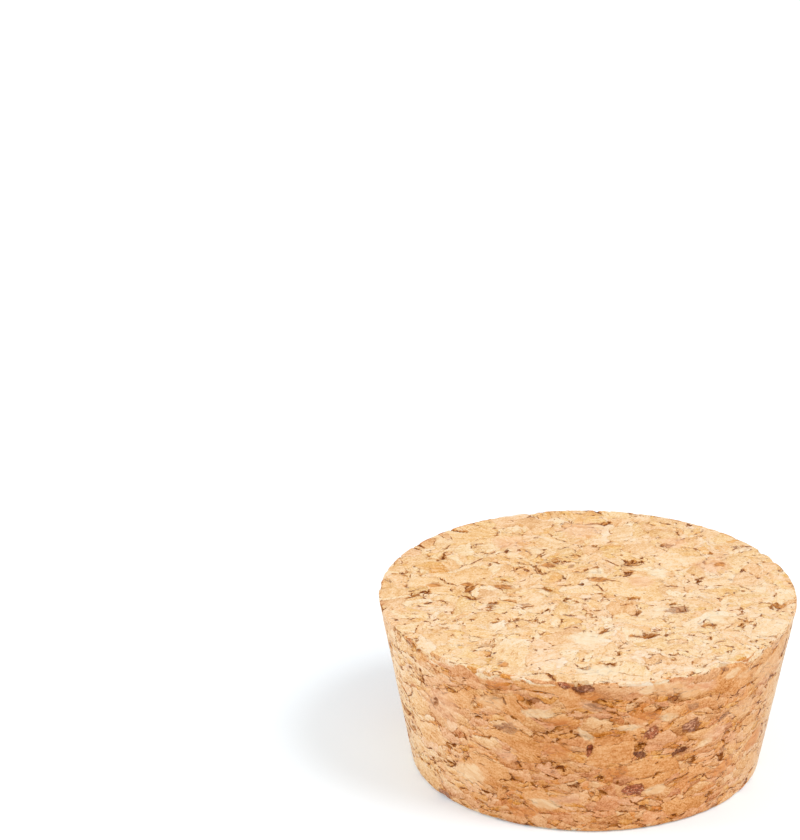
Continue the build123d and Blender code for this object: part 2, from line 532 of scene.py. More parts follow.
# Cracks and pits that stand out
CRACKS = (
    *spots(
        SIDE,
        (-87.2, 0.82, -22, 1.58, 0.08), (-75.6, 0.17, -37, 0.9, 0.12), (-62.5, 0.31, 14, 0.98, 0.1),
        (-100.7, 0.43, 13, 0.57, 0.26), (-112.5, 0.42, -38, 0.34, 0.52), (-115.4, 0.83, -70, 0.38, 0.46),
        (-107.7, 0.85, -31, 0.37, 0.4), (-117.7, 0.29, 15, 0.47, 0.29), (-104.6, 0.29, 5, 0.4, 0.31),
        (-96.4, 0.31, -16, 0.39, 0.42), (-117.8, 0.16, 19, 0.43, 0.25), (-108.6, 0.18, -15, 0.41, 0.23),
        (-91.1, 0.14, -3, 0.53, 0.18), (-89.5, 0.21, 0, 0.16, 0.7), (-84.5, 0.06, 0, 0.11, 1.31),
        (-75.0, 0.07, 0, 0.11, 1.22), (-96.5, 0.68, 0, 0.12, 1.69), (-95.7, 0.54, 0, 0.11, 1.68),
        (-88.1, 0.71, 57, 0.25, 0.54), (-104.6, 0.63, -21, 0.22, 0.75), (-106.0, 0.49, 0, 0.12, 1.54),
        (-70.7, 0.65, -30, 0.14, 1.41), (-61.3, 0.5, 58, 0.18, 0.99), (-71.0, 0.44, 5, 0.15, 0.71),
        (-71.4, 0.34, 0, 0.12, 1.23), (-49.8, 0.36, 8, 0.24, 0.51), (-53.1, 0.79, 61, 0.27, 0.66),
        (-53.1, 0.955, 65, 0.3, 0.6), (-37.0, 0.965, 55, 0.2, 0.8), (-31.3, 0.77, 60, 0.25, 0.6),
        (-42.8, 0.51, 55, 0.35, 0.3), (-142.8, 0.65, -52, 0.68, 0.22), (-131.4, 0.88, -17, 0.2, 0.83),
        (-130.0, 0.51, -67, 0.31, 0.44), (-124.1, 0.58, -33, 0.4, 0.27), (-82.7, 0.34, 0, 0.11, 1.39),
        (-144.9, 0.02, -23, 0.53, 0.41), (-117.2, 0.63, 20, 0.31, 0.52), (-45.0, 0.77, 41, 0.22, 0.61),
        (-46.4, 0.48, 32, 0.18, 0.74), (-39.8, 0.63, 48, 0.31, 0.35), (-153.5, 0.03, -24, 0.24, 0.67),
        (-141.0, 0.27, -22, 0.2, 0.68), (-145.5, 0.83, -20, 0.17, 0.78), (-115.3, 0.66, -25, 0.4, 0.35)),
    *spots(
        LARGE_END,
        (138.7, 0.43, 42, 0.82, 0.2), (88.9, 0.27, 42, 0.24, 1.05), (54.0, 0.18, -19, 0.91, 0.2),
        (142.0, 0.14, 12, 0.59, 0.28), (-152.3, 0.33, 12, 0.56, 0.49), (-110.6, 0.27, -12, 0.56, 0.37),
        (-78.7, 0.2, -12, 0.3, 0.84), (-36.8, 0.09, 60, 0.61, 0.17), (-35.9, 0.22, 27, 0.52, 0.32),
        (-105.6, 0.41, 38, 0.32, 0.46), (-117.9, 0.59, 82, 0.51, 0.26), (-89.8, 0.44, -55, 0.28, 0.37),
        (-68.3, 0.73, -23, 0.25, 0.83), (-109.3, 0.67, 0, 0.12, 2.14), (-63.3, 0.53, 7, 1.0, 0.42),
        (-58.0, 0.55, -8, 0.5, 0.4), (170.9, 0.66, -33, 0.59, 0.35), (-175.3, 0.57, -27, 0.72, 0.37),
        (17.1, 0.57, 42, 0.55, 0.3), (-22.9, 0.78, -27, 0.4, 0.47), (-21.9, 0.45, -27, 0.56, 0.37),
        (-42.5, 0.81, 23, 0.47, 0.31), (-171.4, 0.77, 23, 0.39, 0.48), (98.5, 0.74, 23, 0.39, 0.43),
        (143.8, 0.64, 49, 0.6, 0.24)),
    *Scatter(SIDE, 31, 40, (0.3, 0.9), (0.12, 0.4)).spots(),
    *Scatter(SIDE, 32, 28, (0.11, 0.25), (0.6, 1.4)).spots(),
    *Scatter(SIDE, 34, 9, (0.3, 0.8), (0.12, 0.4), (-40.0, -6.0)).spots(),
    *Scatter(SIDE, 35, 4, (0.3, 0.7), (0.15, 0.4), (-176.0, -157.0)).spots(),
    *Scatter(SMALL_END, 33, 18, (0.3, 0.9), (0.2, 0.45)).spots(),
)

# Granules whose colour stands out
SHOWY_GRANULES = {
    GranuleKind.PURPLE_BARK: (
        *spots(
            SIDE,
            (-61.3, 0.65, 5, 0.92, 1.3), (-93.6, 0.965, -4, 1.05, 0.7), (-63.7, 0.48, 12, 0.75, 0.6),
            (-76.4, 0.51, -25, 0.55, 1.1), (-145.0, 0.03, 0, 0.8, 1.0)),
        *Scatter(SIDE, 41, 5, (0.55, 0.9), (0.8, 1.2)).spots(),
        *Scatter(SMALL_END, 42, 1, (0.8, 0.9), (0.9, 1.1)).spots(),
    ),
    GranuleKind.RED_BARK: (
        *spots(
            SIDE,
            (-77.5, 0.28, 5, 1.0, 1.1), (-73.6, 0.65, 30, 0.75, 1.4), (-91.3, 0.55, 75, 0.6, 0.8),
            (-98.5, 0.985, -20, 0.6, 0.9)),
        *Scatter(SIDE, 43, 5, (0.6, 0.9), (0.8, 1.3)).spots(),
        *Scatter(SMALL_END, 44, 1, (0.6, 0.8), (0.9, 1.1)).spots(),
    ),
    GranuleKind.GREY_BARK: (
        *spots(
            SIDE,
            (-49.2, 0.64, 30, 0.8, 0.7), (-115.6, 0.65, 10, 1.0, 1.0), (-61.5, 0.78, -20, 0.55, 1.4),
            (-52.4, 0.97, -20, 0.45, 1.0)),
        *Scatter(SIDE, 45, 4, (0.5, 1.0), (0.7, 1.1)).spots(),
        *spots(
            LARGE_END,
            (-173.9, 0.55, 5, 0.75, 0.5), (-164.5, 0.48, 40, 0.45, 1.4), (102.7, 0.32, 60, 0.4, 1.2),
            (-156.9, 0.33, 5, 0.55, 0.8), (-24.4, 0.46, 15, 1.05, 1.1)),
        *Scatter(SMALL_END, 46, 4, (0.45, 0.8), (0.6, 1.2)).spots(),
    ),
    GranuleKind.ORANGE_WOOD: (
        *spots(
            SIDE,
            (-100.9, 0.55, 5, 1.35, 1.2), (-76.1, 0.76, 3, 1.3, 0.9), (-117.5, 0.92, 0, 1.1, 0.9),
            (-91.6, 0.92, -8, 1.3, 0.7), (-99.8, 0.74, 8, 1.2, 0.8), (-84.0, 0.41, -5, 1.4, 0.8),
            (-112.0, 0.1, 8, 1.6, 0.7), (-30.0, 0.34, 10, 1.6, 1.0), (-46.0, 0.28, 8, 1.5, 0.8)),
        *Scatter(SIDE, 47, 9, (1.1, 1.6), (0.7, 1.1)).spots(),
    ),
    GranuleKind.CREAM_WOOD: (
        *spots(
            SIDE,
            (-106.0, 0.78, 4, 1.6, 0.55), (-80.8, 0.7, 2, 1.2, 0.5), (-92.5, 0.66, -45, 0.9, 0.8),
            (-70.6, 0.26, 5, 1.1, 0.8), (-105.1, 0.18, -6, 1.3, 0.8), (-69.2, 0.74, 0, 0.9, 0.9),
            (-76.3, 0.935, 10, 0.7, 1.2), (-49.5, 0.92, 10, 0.9, 0.9), (-55.0, 0.51, 25, 1.0, 0.8),
            (-130.9, 0.27, 10, 1.6, 1.2)),
        *Scatter(SIDE, 48, 8, (0.9, 1.6), (0.5, 0.9)).spots(),
    ),
    GranuleKind.PALE_WOOD: (
        *spots(
            LARGE_END,
            (-93.8, 0.5, 5, 1.5, 1.6), (-88.5, 0.85, 0, 2.0, 1.0), (-25.0, 0.64, 10, 1.0, 2.2),
            (78.1, 0.26, 0, 0.7, 2.0), (34.5, 0.42, 0, 0.8, 2.2)),
        *Scatter(SMALL_END, 49, 5, (0.8, 1.6), (1.2, 2.0)).spots(),
    ),
    GranuleKind.PINK_WOOD: (
        *spots(
            SIDE,
            (-91.0, 0.85, -20, 1.3, 0.7), (-117.0, 0.47, -15, 1.2, 0.8), (-139.3, 0.67, 10, 2.4, 1.3),
            (-98.5, 0.22, 5, 1.2, 0.9), (-52.0, 0.56, 12, 1.4, 0.9), (-57.5, 0.89, 5, 1.0, 1.0)),
        *Scatter(SIDE, 50, 7, (1.2, 2.2), (0.7, 1.1)).spots(),
        *spots(
            LARGE_END,
            (53.9, 0.74, 0, 1.2, 1.8), (91.0, 0.76, 5, 2.0, 1.6), (121.0, 0.7, -5, 1.6, 1.8),
            (28.8, 0.69, 10, 1.6, 1.8), (27.7, 0.29, -10, 1.2, 1.8)),
        *Scatter(SMALL_END, 51, 3, (1.2, 1.8), (1.2, 1.8)).spots(),
    ),
    GranuleKind.BEIGE_WOOD: (
        *spots(
            SIDE,
            (-44.0, 0.88, 8, 1.1, 0.9), (-63.0, 0.88, 4, 1.2, 0.8), (-31.0, 0.82, -5, 2.2, 1.1),
            (-41.0, 0.64, 12, 1.6, 0.9), (-70.0, 0.93, 0, 1.8, 0.7), (-120.0, 0.8, 10, 1.5, 0.9)),
        *Scatter(SIDE, 52, 7, (1.5, 2.4), (0.7, 1.0)).spots(),
    ),
    GranuleKind.AMBER_WOOD: (
        *spots(
            LARGE_END,
            (118.6, 0.37, 5, 0.7, 1.4), (71.6, 0.17, -5, 1.0, 0.9), (-63.3, 0.53, 7, 1.3, 0.7),
            (169.8, 0.59, 20, 0.6, 0.8), (169.5, 0.41, -10, 1.0, 0.9), (-130.5, 0.76, 4, 0.9, 0.6),
            (172.7, 0.74, 15, 0.7, 1.2), (27.3, 0.73, 10, 0.6, 1.4), (-117.9, 0.9, 30, 0.5, 1.4),
            (-32.3, 0.67, 5, 0.6, 0.8)),
        *Scatter(SMALL_END, 53, 8, (0.5, 1.0), (0.7, 1.3)).spots(),
    ),
}


@dataclass
class Stopper:
    """The cork stopper: one plug whose surface follows its granules."""

    form: PlugForm = field(default_factory=PlugForm)
    outline: GranuleOutline = GranuleOutline()
    granules: Granules = Granules()
    sizes: GranuleSizes = GranuleSizes()
    granule_size: Triple = (4.2 * MM, 4.2 * MM, 2.1 * MM)
    bend: Triple = (0.8 * MM, 0.8 * MM, 0.4 * MM)
    crook: float = 0.12 * MM
    border_dip: float = 0.05 * MM
    dip_reach: float = 0.12
    seat_spread: float = 0.06 * MM
    gap_depth: float = 0.45 * MM
    gap_reach: float = 0.07
    gap_from: float = 0.8
    level_from: float = 0.3
    level_over: float = 0.45
    steep_from: float = 0.45
    steep_over: float = 0.47
    steep_fade: float = 0.85
    rim_crumble: float = 0.3 * MM
    rim_crumble_reach: float = 0.9 * MM
    crumble_from: float = 0.9
    crumble_most: float = 1.5
    rim_belt: float = 2.8 * MM
    long_belt_gain: float = 1.6
    long_belt_lift: float = 0.22
    long_belt_angles: tuple[float, ...] = (-47.0, -137.0)
    long_belt_span: float = 22.0
    torn_length: float = 5.0 * MM
    torn_width: float = 2.8 * MM
    torn_depth: float = 0.8 * MM
    inner_face_share: float = 0.5
    rise_share: float = 0.35
    lip_start: float = 0.4
    least_facing: float = 0.3
    crack_reach: float = 1.2 * MM
    crack_fade: float = 0.3 * MM
    far_from_crack: Triple = (3.0, 9.0, 0.0)
    bend_waves: PlaneWaves = PlaneWaves(11, 6 * MM, 15 * MM)
    crook_waves: PlaneWaves = PlaneWaves(12, 1.8 * MM, 4.5 * MM)
    open_waves: PlaneWaves = PlaneWaves(13, 0.7, 1.7)
    crumble_waves: PlaneWaves = PlaneWaves(14, 1.5 * MM, 6 * MM)

    def granule_space(self, points: Array) -> Array:
        """Places in granules: moved by long bends and short crooks, then divided by a granule's size."""
        bends = np.array(self.bend) * self.bend_waves.at(points, 3)
        moved = points + bends + self.crook * self.crook_waves.at(points, 3)
        return moved / np.array(self.granule_size)

    def end_share(self, points: Array, normals: Array) -> Array:
        """1 on the flat ends and 0 on the side, changing evenly across a belt along each rim.

        At two angles by the large rim, the belt reaches further down the side and the share is higher in it.
        There it carries the ends' paler tones, painted light, down the upper flanks.

        Args:
            points: Points of the plain plug.
            normals: Their normals.

        Returns:
            The share at each point.
        """
        form = self.form
        radius = np.hypot(points[:, 0], points[:, 1])
        nearer_head = points[:, 2] > form.height / 2
        inward = np.where(nearer_head, form.large_radius, form.small_radius) - radius
        down = np.where(nearer_head, form.height - points[:, 2], points[:, 2])
        on_end = np.abs(normals[:, 2]) > math.sin(math.pi / 4)
        angles = np.degrees(np.arctan2(points[:, 1], points[:, 0]))
        away = np.abs(angles[:, None] - np.array(self.long_belt_angles)).min(axis=1)
        # painted light: the ends' paler share reaches further down the upper flanks at these angles
        long_belt = np.where(nearer_head, np.exp(-(away / self.long_belt_span) ** 2), 0.0)
        belt = self.rim_belt * np.where(on_end, 1.0, 1.0 + self.long_belt_gain * long_belt)
        return np.clip(0.5 + self.long_belt_lift * long_belt + np.where(on_end, inward, -down) / belt, 0, 1)

    def spot_frame(self, spot: Spot) -> tuple[Array, Array]:
        """Origin of a spot on the plain plug, and its length, width and outward directions as rows.

        Args:
            spot: The granule's place.

        Returns:
            The origin, and three unit rows.
        """
        form = self.form
        angle = math.radians(spot.angle)
        out = np.array([math.cos(angle), math.sin(angle), 0.0])
        level = np.array([-out[1], out[0], 0.0])
        up = np.array([0.0, 0.0, 1.0])
        if spot.part in (LARGE_END, SMALL_END):
            large = spot.part is LARGE_END
            radius = (form.large_radius if large else form.small_radius) * spot.share
            origin = out * radius + up * (form.height if large else 0)
            outward = up if large else -up
            level = np.array([1.0, 0.0, 0.0])
        else:
            lift = {SIDE: -form.taper, LARGE_RIM: math.pi / 4, SMALL_RIM: -math.pi / 4}[spot.part]
            radius = form.small_radius + (form.large_radius - form.small_radius) * spot.share
            origin = out * radius + up * form.height * spot.share
            outward = out * math.cos(lift) + up * math.sin(lift)
        across = np.cross(outward, level)
        turn = math.radians(spot.turn)
        length_way = level * math.cos(turn) + across * math.sin(turn)
        return origin, np.stack([length_way, np.cross(outward, length_way), outward])

    def gauges(self, points: Array, normals: Array, spot: Spot) -> tuple[Array, Array, Array]:
        """Gauge of a granule's outline over the surface.

        Args:
            points: Points of the surface.
            normals: Its normals.
            spot: The granule's place and size.

        Returns:
            The gauge, endless where the surface lies far off, the height over the spot, and the outward
            direction.
        """
        origin, ways = self.spot_frame(spot)
        local = (points - origin) @ ways.T
        length = self.torn_length * spot.size
        width = self.torn_width * spot.size * spot.slimness
        gauge = self.outline.gauge(local[:, 0] / length, local[:, 1] / width)
        near = (np.abs(local[:, 2]) < length) & (normals @ ways[2] > self.least_facing)
        return np.where(near, gauge, np.inf), local[:, 2], ways[2]

    def torn(self, points: Array, normals: Array) -> tuple[Array, Array, Array]:
        """Presses the torn-out hollows into the surface.

        A hollow narrows inward from the granule's outline to a smaller flat floor. Its height is minus the
        depth on that floor, and climbs evenly with the gauge to the granule's rise at the outline. Points
        above it sink to it.

        Args:
            points: Points of the surface.
            normals: Its normals.

        Returns:
            The moved points, how far inside a hollow each lies, from 0 at its mouth to 1 at its middle, and
            how high in it, from 0 low to 1 under its upper lip.
        """
        inside = np.full(len(points), -1.0)
        under_lip = np.zeros(len(points))
        for spot in HOLLOWS:
            gauge, height, outward = self.gauges(points, normals, spot)
            depth = self.torn_depth * spot.size
            climb = np.clip((gauge - self.inner_face_share) / (1 - self.inner_face_share), 0, None)
            floor = climb * depth * (1 + self.rise_share) - depth
            drop = np.where(gauge < 1, np.clip(height - floor, 0, 2 * depth), 0)
            points = points - drop[:, None] * outward
            closer = np.isfinite(gauge) & (1 - gauge > inside)
            inside = np.where(closer, 1 - gauge, inside)
            above = (points[:, 2] - self.spot_frame(spot)[0][2]) / (self.torn_width * spot.size / 2)
            under_lip = np.where(closer, np.clip(self.lip_start + above, 0, 1), under_lip)
        return points, np.clip(inside, -1, 1), under_lip

    def crack_places(self, points: Array, normals: Array) -> Array:
        """Where each point lies in the nearest crack, in the numbers that the finish reads.

        Args:
            points: Points of the plain plug.
            normals: Their normals.

        Returns:
            Rows of the place along the crack in shares of its half length, the place across it in
            millimetres, and its half width in millimetres, which fades to nothing away from it.
        """
        nearest = np.full(len(points), self.crack_reach)
        places = np.tile(self.far_from_crack, (len(points), 1))
        for spot in CRACKS:
            origin, ways = self.spot_frame(spot)
            local = (points - origin) @ ways.T
            half_length = self.torn_length * spot.size / 2
            half_width = self.torn_width * spot.size * spot.slimness / 2
            apart = np.hypot(np.clip(np.abs(local[:, 0]) - half_length, 0, None), local[:, 1])
            near = (np.abs(local[:, 2]) < self.torn_width) & (normals @ ways[2] > self.least_facing)
            apart = np.where(near, apart, np.inf)
            closer = apart < nearest
            nearest = np.where(closer, apart, nearest)
            fade = np.clip((self.crack_reach - apart) / self.crack_fade, 0, 1)
            own = np.stack([local[:, 0] / half_length, local[:, 1] / MM, half_width / MM * fade], axis=1)
            places = np.where(closer[:, None], own, places)
        return places

    def borders(self, place: Array) -> tuple[Array, Array, Array]:
        """Nearest border among large, plain and fine granules.

        Args:
            place: Places in granule space.

        Returns:
            Distance to the border, how level it lies, and the granule's own random seat from 0 to 1.
        """
        sizes = self.sizes
        border, levelness, draw, _ = self.granules.around(place)
        fine_border, _, fine_draw, _ = self.granules.around(place * sizes.fine_scale)
        large_border, large_levelness, large_draw, next_draw = self.granules.around(place * sizes.large_scale)
        large_border = large_border / sizes.large_scale
        fine = draw[:, 0] < sizes.fine_share
        large = large_draw[:, 0] < sizes.large_share
        beside = large | (next_draw[:, 0] < sizes.large_share)
        border = np.where(fine, np.minimum(border, fine_border / sizes.fine_scale), border)
        border = np.where(beside, np.minimum(border, large_border), border)
        border = np.where(large, large_border, border)
        seat = np.where(large, large_draw[:, 1], np.where(fine, fine_draw[:, 1], draw[:, 1]))
        return border, np.where(large, large_levelness, levelness), seat

    def relief(self, points: Array, place: Array, opening: Array, ends: Array) -> Array:
        """Depth of the surface below the ground plug.

        Each granule sits a little lower or higher by chance, dips at its border, and opens a gap there where
        the waves run high, on the side only along level borders and on the ends mostly along steep ones. Near
        the large rim, crumbs are missing too. Each of these fades as exp(-(distance / reach) squared).

        Args:
            points: Points of the plain plug.
            place: Their places in granule space.
            opening: Waves that open the borders where they run high.
            ends: 1 on the flat ends, 0 on the side.

        Returns:
            A depth for each point, never below zero.
        """
        form = self.form
        border, levelness, seat = self.borders(place)
        on_side = np.clip((levelness - self.level_from) / self.level_over, 0, 1)
        on_end = 1 - self.steep_fade * np.clip((levelness - self.steep_from) / self.steep_over, 0, 1)
        facing = on_side + (on_end - on_side) * ends
        off_foot = np.clip(points[:, 2] / (2 * form.small_rim), 0, 1)
        dip = np.exp(-(border / self.dip_reach) ** 2)
        gap = np.clip(opening - self.gap_from, 0, 1) * facing * off_foot
        gap = gap * np.exp(-(border / self.gap_reach) ** 2)
        radius = np.hypot(points[:, 0], points[:, 1])
        from_rim = np.hypot(radius - form.large_radius, points[:, 2] - form.height)
        crumble = np.clip(self.crumble_waves.at(points)[:, 0] - self.crumble_from, 0, self.crumble_most)
        crumble = crumble * np.exp(-(from_rim / self.rim_crumble_reach) ** 2)
        depth = self.border_dip * dip + self.seat_spread * seat
        return depth + self.gap_depth * gap + self.rim_crumble * crumble

    def build(self) -> bpy.types.Object:
        """Makes the stopper's mesh with the attributes that its finish reads.

        Returns:
            The finished object at the origin.
        """
        skin = self.form.skin()
        place = self.granule_space(skin.points)
        opening = self.open_waves.at(place)[:, 0]
        ends = self.end_share(skin.points, skin.normals)
        sunk = skin.points - skin.normals * self.relief(skin.points, place, opening, ends)[:, None]
        points, inside, under_lip = self.torn(sunk, skin.normals)

        mesh = bpy.data.meshes.new("cork_stopper")
        mesh.vertices.add(len(points))
        mesh.vertices.foreach_set("co", points.astype(np.float32).ravel())
        mesh.loops.add(skin.quads.size)
        mesh.loops.foreach_set("vertex_index", skin.quads.astype(np.int32).ravel())
        mesh.polygons.add(len(skin.quads))
        mesh.polygons.foreach_set("loop_start", np.arange(0, skin.quads.size, 4, dtype=np.int32))
        mesh.polygons.foreach_set("use_smooth", np.ones(len(skin.quads), bool))
        mesh.update(calc_edges=True)
        mesh.validate()
        layout = mesh.uv_layers.new(name="OFBake")
        layout.uv.foreach_set("vector", skin.bake_places.astype(np.float32).ravel())

        marks = {
            "granule_space": place, "open_border": opening, "end_face": ends, "torn": inside,
            "under_lip": under_lip, "crack_place": self.crack_places(skin.points, skin.normals)}
        for kind, granules in SHOWY_GRANULES.items():
            nearest = np.min([self.gauges(skin.points, skin.normals, spot)[0] for spot in granules], axis=0)
            marks[kind.value] = np.clip(1 - nearest, -1, 1)
        for name, values in marks.items():
            self.attach(mesh, name, values)
        piece = bpy.data.objects.new("cork_stopper", mesh)
        bpy.context.scene.collection.objects.link(piece)
        return piece

    @staticmethod
    def attach(mesh: bpy.types.Mesh, name: str, values: Array) -> None:
        """Stores one value or vector per point under a name."""
        flat = values.ndim == 1
        attribute = mesh.attributes.new(name, "FLOAT" if flat else "FLOAT_VECTOR", "POINT")
        attribute.data.foreach_set("value" if flat else "vector", values.astype(np.float32).ravel())


@dataclass(frozen=True)
class Cloud:
    """Cloudy noise: how many clouds fit in a unit, how many finer layers it has and how strong they are."""

    scale: float
    detail: float
    rough: float


class NodeBench:
    """Adds and links the nodes of one material or world. Inputs are wires, sockets or plain values."""

    def __init__(self, owner: bpy.types.Material | bpy.types.World) -> None:
        """Starts with no nodes."""
        owner.use_nodes = True
        self.tree = owner.node_tree
        self.tree.nodes.clear()

    def feed(self, socket: Socket, value: Any) -> None:
        """Links a socket to a wire or another socket, or sets it."""
        source = value.socket if isinstance(value, Wire) else value
        if isinstance(source, Socket):
            self.tree.links.new(source, socket)
        else:
            socket.default_value = source

    def add(self, kind: str, inputs: dict[str | int, Any] | None = None, **settings: Any) -> Node:
        """Adds a node.

        Args:
            kind: The node's type.
            inputs: Values by socket name or number.
            **settings: The node's own properties.

        Returns:
            The node.
        """
        node = self.tree.nodes.new(kind)
        for name, value in settings.items():
            setattr(node, name, value)
        for name, value in (inputs or {}).items():
            self.feed(node.inputs[name], value)
        return node

    def mix(self, share: Any, first: Any, second: Any, kind: str, ending: str, way: str = "MIX") -> Socket:
        """Mixes two values of one kind.

        Args:
            share: Share of the second value.
            first: The first value.
            second: The second value.
            kind: The kind of value, as the node calls it.
            ending: How the names of the sockets of that kind end.
            way: How two colours are mixed.

        Returns:
            The mixed value.
        """
        node = self.add("ShaderNodeMix", data_type=kind, blend_type=way, clamp_factor=True)
        sockets = {socket.identifier: socket for socket in (*node.inputs, *node.outputs)}
        for name, value in (("Factor_Float", share), (f"A_{ending}", first), (f"B_{ending}", second)):
            self.feed(sockets[name], value)
        return sockets[f"Result_{ending}"]

    def mark(self, name: str) -> "Number":
        """A number that the piece's points carry."""
        return Number(self, self.add("ShaderNodeAttribute", attribute_name=name).outputs["Fac"])

    def marked_place(self, name: str) -> "Place":
        """A place that the piece's points carry."""
        return Place(self, self.add("ShaderNodeAttribute", attribute_name=name).outputs["Vector"])

    def ramp(self, value: "Number", stops: Stops) -> Socket:
        """Colour along a row of stops."""
        node = self.add("ShaderNodeValToRGB", {0: value})
        elements = node.color_ramp.elements
        while len(elements) < len(stops):
            elements.new(1.0)
        for element, (place, tone) in zip(elements, stops):
            element.position = place
            element.color = tone.linear()
        return node.outputs[0]


@dataclass(frozen=True)
class Wire:
    """A value on its way through a bench's nodes, with plain sums on it."""

    bench: NodeBench
    socket: Socket
    NODE: ClassVar[str] = "ShaderNodeMath"

    def plain(self, operation: str, *values: Any) -> Self:
        """A plain operation on some values."""
        node = self.bench.add(self.NODE, dict(enumerate(values)), operation=operation)
        return type(self)(self.bench, node.outputs[0])

    def __add__(self, other: Any) -> Self:
        """The sum with another value."""
        return self.plain("ADD", self, other)

    def __sub__(self, other: Any) -> Self:
        """The value less another."""
        return self.plain("SUBTRACT", self, other)

    def __rsub__(self, other: Any) -> Self:
        """Another value less this one."""
        return self.plain("SUBTRACT", other, self)

    def __mul__(self, other: Any) -> Self:
        """The product with another value."""
        return self.plain("MULTIPLY", self, other)

    def __truediv__(self, other: Any) -> Self:
        """The value over another."""
        return self.plain("DIVIDE", self, other)


class Number(Wire):
    """One number."""

    def span(self, low: Any, high: Any, start: Any = 0.0, end: Any = 1.0, smooth: bool = True) -> "Number":
        """Maps the number from low..high to start..end, eased at its ends if smooth, and holds it there."""
        inputs = {0: self, 1: low, 2: high, 3: start, 4: end}
        kind = "SMOOTHSTEP" if smooth else "LINEAR"
        node = self.bench.add("ShaderNodeMapRange", inputs, interpolation_type=kind)
        return Number(self.bench, node.outputs[0])

    def most(self, other: Any) -> "Number":
        """The larger of this number and another."""
        return self.plain("MAXIMUM", self, other)

    def least(self, other: Any) -> "Number":
        """The smaller of this number and another."""
        return self.plain("MINIMUM", self, other)

    def below(self, limit: float) -> "Number":
        """1 where the number is below a limit, and 0 elsewhere."""
        return self.plain("LESS_THAN", self, limit)

    def bare(self) -> "Number":
        """The number without its sign."""
        return self.plain("ABSOLUTE", self)

    def choose(self, first: Any, second: Any) -> "Number":
        """Mixes two numbers, with this one as the share of the second."""
        return Number(self.bench, self.bench.mix(self, first, second, "FLOAT", "Float"))

    def blend(self, first: Any, second: Any, way: str = "MIX") -> "Place":
        """Mixes two colours or places, with this number as the share of the second."""
        return Place(self.bench, self.bench.mix(self, first, second, "RGBA", "Color", way))


class Place(Wire):
    """Three numbers together: a place, a direction or a colour."""

    NODE: ClassVar[str] = "ShaderNodeVectorMath"

    def parts(self) -> tuple[Number, ...]:
        """Its three numbers."""
        node = self.bench.add("ShaderNodeSeparateXYZ", {0: self})
        return tuple(Number(self.bench, part) for part in node.outputs)

    def scaled(self, factor: float) -> "Place":
        """The place times one number."""
        node = self.bench.add(self.NODE, {0: self, "Scale": factor}, operation="SCALE")
        return Place(self.bench, node.outputs[0])

    def along(self, way: Any) -> Number:
        """The sum of the products of its numbers with those of a direction."""
        node = self.bench.add(self.NODE, {0: self, 1: way}, operation="DOT_PRODUCT")
        return Number(self.bench, node.outputs["Value"])

    def turned(self, axis: str, angle: Number) -> "Place":
        """The place turned about an axis."""
        inputs = {"Vector": self, "Angle": angle}
        node = self.bench.add("ShaderNodeVectorRotate", inputs, rotation_type=axis)
        return Place(self.bench, node.outputs[0])

    def clouded(self, cloud: Cloud) -> Node:
        """Cloudy noise at the place."""
        return self.bench.add("ShaderNodeTexNoise", {
            "Vector": self, "Scale": cloud.scale, "Detail": cloud.detail, "Roughness": cloud.rough})

    def noise(self, cloud: Cloud) -> Number:
        """One cloudy number from 0 to 1."""
        return Number(self.bench, self.clouded(cloud).outputs["Fac"])

    def swirl(self, cloud: Cloud) -> "Place":
        """Three cloudy numbers, each from -0.5 to 0.5."""
        return Place(self.bench, self.clouded(cloud).outputs["Color"]) - HALF

    def cells(self, scale: float, feature: str = "F1") -> Node:
        """Cells around random points."""
        return self.bench.add("ShaderNodeTexVoronoi", {"Vector": self, "Scale": scale}, feature=feature)


@dataclass(frozen=True)
class GranuleNodes:
    """Wires that tell what granule a place lies in and where in it."""

    place: Place
    draw: Place
    parent: tuple[Number, ...]
    large: Number
    slope: Number
    rise: Number
    border: Number
    corner: Number
    level_border: Number
    steep_border: Number


@dataclass(frozen=True)
class Ground:
    """Wires that the steps of the cork's finish share."""

    bench: NodeBench
    here: Place
    smooth_place: Place
    end_face: Number
    granule: GranuleNodes
    grain: Place
    fibre: Number
    dust: Number
    wander: Number

    def by_part(self, side: Any, end: Any) -> Number:
        """One number on the side and another on the ends."""
        return self.end_face.choose(side, end)


@dataclass(frozen=True)
class Showy:
    """How one kind of granule that stands out is coloured.

    Its two tones mix along its grain. Cover is how much of it shows and soft how wide its edge fades. A
    granule of bark has a dark skin and pale flecks, by their shares.
    """

    kind: GranuleKind
    light: Tone
    dark: Tone
    cover: float
    soft: float
    skin: float = 0.0
    fleck: float = 0.0


